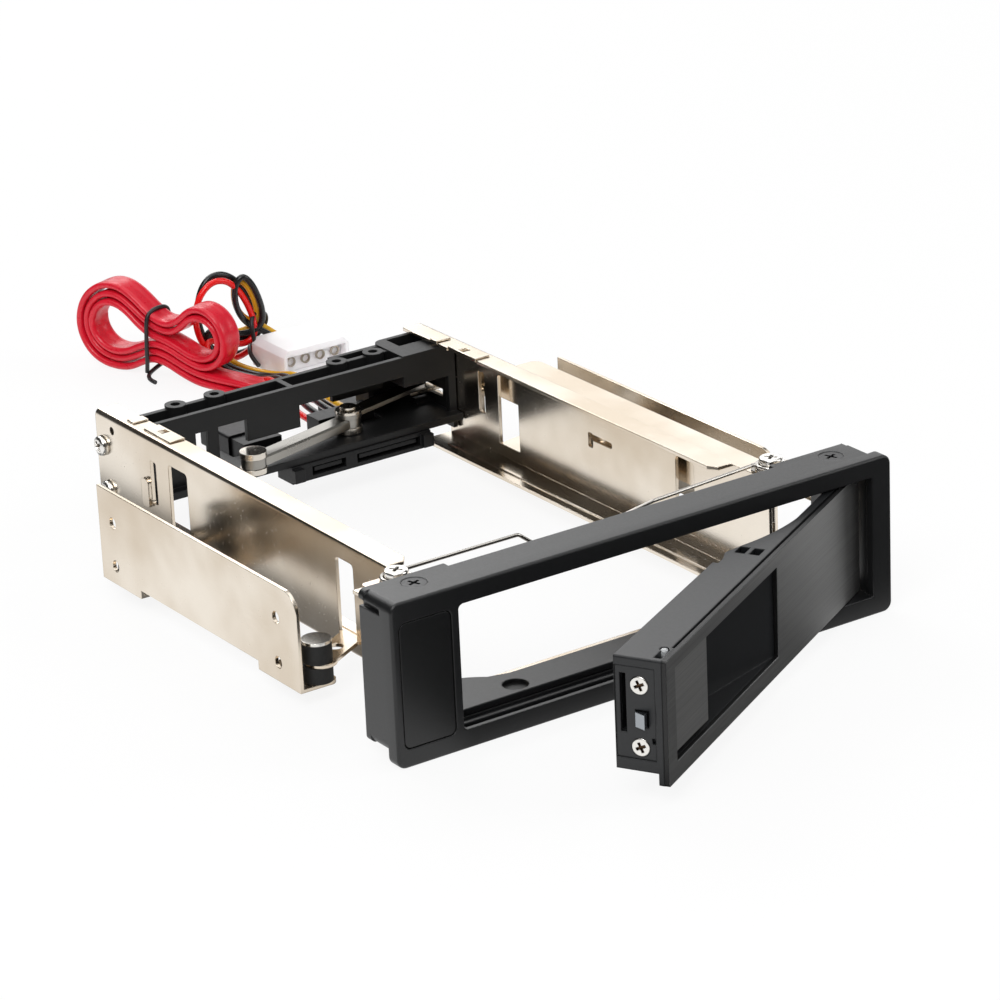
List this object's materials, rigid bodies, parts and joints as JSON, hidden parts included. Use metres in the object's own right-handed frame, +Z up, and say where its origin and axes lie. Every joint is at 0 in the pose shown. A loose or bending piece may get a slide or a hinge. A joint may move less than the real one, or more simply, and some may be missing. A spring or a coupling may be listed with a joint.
{
  "type": "hot swap drive cage",
  "caption": "Steel cage for a 3.5 inch drive in a 5.25 inch bay, on rubber dampers, with a side-hinged latching door, rod-driven ejector, rear connectors and tied cables.",
  "frame": {"origin": "under the middle of the cage and its open door, at the height of the bezel's bottom edge", "axes": "+X to the right seen from the front, +Y from the bezel to the rear, +Z up"},
  "size_m": [0.1484, 0.3576, 0.042],
  "materials": {
    "red_wire": "glossy red wire insulation",
    "yellow_wire": "glossy yellow wire insulation",
    "black_wire": "glossy black wire insulation",
    "red_ribbon": "soft glossy bright red cable jacket",
    "white_nylon": "slightly clear white nylon",
    "pin_tin": "tinned rolled contact tubes",
    "connector_black": "fine matte black",
    "board": "dark green solder mask",
    "damper_rubber": "smooth black rubber",
    "moulded_black": "satin black moulding",
    "panel_black": "satin black moulding",
    "door_black": "smooth black moulding, half gloss",
    "door_face_metal": "dark anodised, brushed along its length",
    "slider_metal": "dark anodised, brushed",
    "indicator": "clear dark light pipe",
    "black_screw": "black oxide",
    "stud_steel": "dark plated cap",
    "screw_nickel": "bright nickel plate",
    "spring_steel": "bright spring wire",
    "polished_steel": "bright nickel plate, worn by the tool",
    "nickel_sheet": "nickel plated sheet with soft reflections"
  },
  "bodies": {
    "cage": {"backplane_board": "board", "bezel_blank_panel": "panel_black", "bezel_frame": "moulded_black", "bezel_sill": "moulded_black", "bezel_top_screws": "black_screw", "corner_nuts": "screw_nickel", "corner_screws": "screw_nickel", "damper_studs": "stud_steel", "data_cable_end_plug": "connector_black", "data_cable_far_tail": "red_ribbon", "data_cable_hank": "red_ribbon", "data_cable_near_tail": "red_ribbon", "data_cable_tie": "black_wire", "data_header": "connector_black", "data_plug": "connector_black", "drive_connector": "connector_black", "front_cross_tie": "nickel_sheet", "hinge_pin": "polished_steel", "left_bezel_strap": "nickel_sheet", "left_front_damper": "damper_rubber", "left_inner_rail": "nickel_sheet", "left_outer_bracket": "nickel_sheet", "left_rail_screws": "screw_nickel", "left_rear_damper": "damper_rubber", "left_wire_spring": "spring_steel", "lever_pivot_pin": "polished_steel", "power_header": "connector_black", "power_lead_hank": "black_wire", "power_plug": "white_nylon", "power_plug_pins": "pin_tin", "power_wire_black_1": "black_wire", "power_wire_black_2": "black_wire", "power_wire_red": "red_wire", "power_wire_yellow": "yellow_wire", "rear_holder": "moulded_black", "right_bezel_strap": "nickel_sheet", "right_front_damper": "damper_rubber", "right_inner_rail": "nickel_sheet", "right_outer_bracket": "nickel_sheet", "right_rail_screws": "screw_nickel", "right_rear_damper": "damper_rubber", "right_wire_spring": "spring_steel", "rod_guides": "polished_steel"},
    "door": {"door_body": "door_black", "door_face_plate": "door_face_metal", "door_end_plate": "door_black", "door_end_screws": "screw_nickel", "door_indicator": "indicator", "door_crank_pin": "polished_steel"},
    "latch": {"latch_slider": "slider_metal", "latch_bolt": "door_black"},
    "rod": {"push_rod": "nickel_sheet"},
    "lever": {"lever_left_bar": "polished_steel", "lever_right_bar": "polished_steel", "lever_hub": "polished_steel", "lever_roller": "polished_steel"}
  },
  "joints": [
    {"name": "door_hinge", "type": "hinge", "parent": "cage", "child": "door", "pos_m": [0.0577, -0.05795, 0.021], "axis": [0, 0, 1], "range_deg": [-30.3, 59.7]},
    {"name": "latch_slide", "type": "slide", "parent": "door", "child": "latch", "axis": [0.8634, 0.5045, 0], "range_m": [0, 0.004], "stiffness_N_per_m": 400, "springref_m": -0.001},
    {"name": "rod_slide", "type": "slide", "parent": "cage", "child": "rod", "axis": [0, 1, 0], "range_m": [-0.00173, 0.0034]},
    {"name": "lever_pivot", "type": "hinge", "parent": "cage", "child": "lever", "pos_m": [0.0189, 0.10235, 0.018], "axis": [0, 0, 1], "range_deg": [-3.6, 7.1]}
  ],
  "couplings": [
    {"joint": "rod_slide", "follows": "door_hinge", "m_per_rad": 0.00325},
    {"joint": "lever_pivot", "follows": "door_hinge", "ratio": 0.1175}
  ]
}
